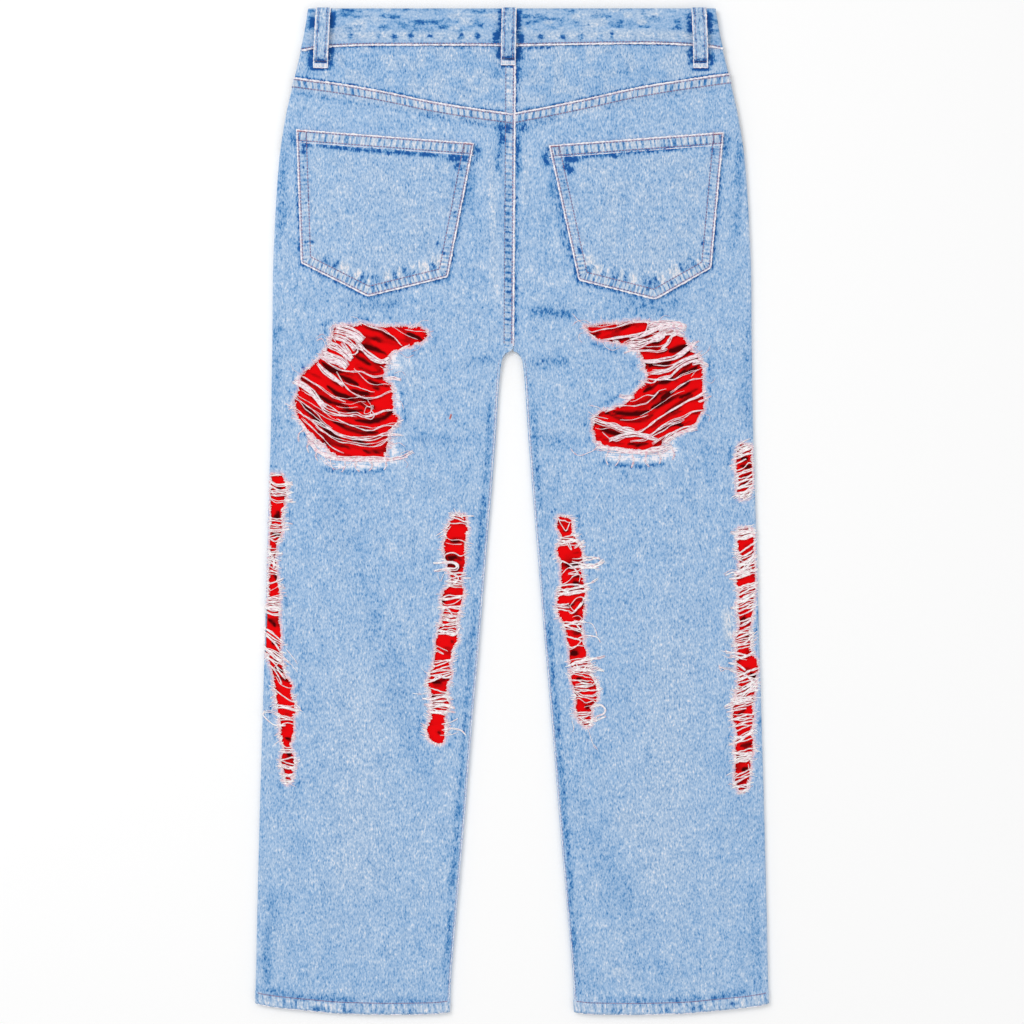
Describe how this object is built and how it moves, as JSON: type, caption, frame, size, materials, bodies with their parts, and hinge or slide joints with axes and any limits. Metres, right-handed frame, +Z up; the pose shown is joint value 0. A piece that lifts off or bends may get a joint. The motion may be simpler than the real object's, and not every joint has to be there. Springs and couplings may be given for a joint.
{
  "type": "ripped jeans",
  "caption": "Straight-leg jeans laid flat with the back upwards: hollow denim legs, waistband, yoke, patch pockets, belt loops and ripped thighs backed with red cloth.",
  "frame": {"origin": "centre of the garment's footprint, on the surface it lies on", "axes": "+Z up from the surface through the back of the jeans, +Y along the legs towards the waistband, +X to the right when looking down at the back with the waist away"},
  "size_m": [0.513, 1.006, 0.0144],
  "materials": {
    "denim": "light stone-washed cotton twill, soft and matt, with pale seams and dark blue shading beside them",
    "denim_band": "the same denim folded double, with blotched wear along its edges",
    "red_cloth": "bright red plain-woven cotton, matt",
    "button_metal": "aged plain metal button"
  },
  "bodies": {
    "root": {"back_panel_left": "denim", "back_panel_right": "denim", "yoke_left": "denim", "yoke_right": "denim", "waistband_back": "denim_band", "waistband_front_left": "denim_band", "waistband_front_right": "denim_band", "belt_loop_back_left": "denim_band", "belt_loop_back_centre": "denim_band", "belt_loop_back_right": "denim_band", "belt_loop_front_left": "denim_band", "belt_loop_front_right": "denim_band", "back_pocket_left": "denim", "back_pocket_right": "denim", "front_panel_left": "denim", "front_panel_right": "denim", "pocket_facing_left": "denim", "pocket_facing_right": "denim", "fly_shield": "denim", "backing_thigh_left": "red_cloth", "backing_thigh_right": "red_cloth", "backing_inner_left": "red_cloth", "backing_inner_right": "red_cloth", "backing_outer_left": "red_cloth", "backing_outer_right": "red_cloth", "button": "button_metal"}
  },
  "joints": []
}
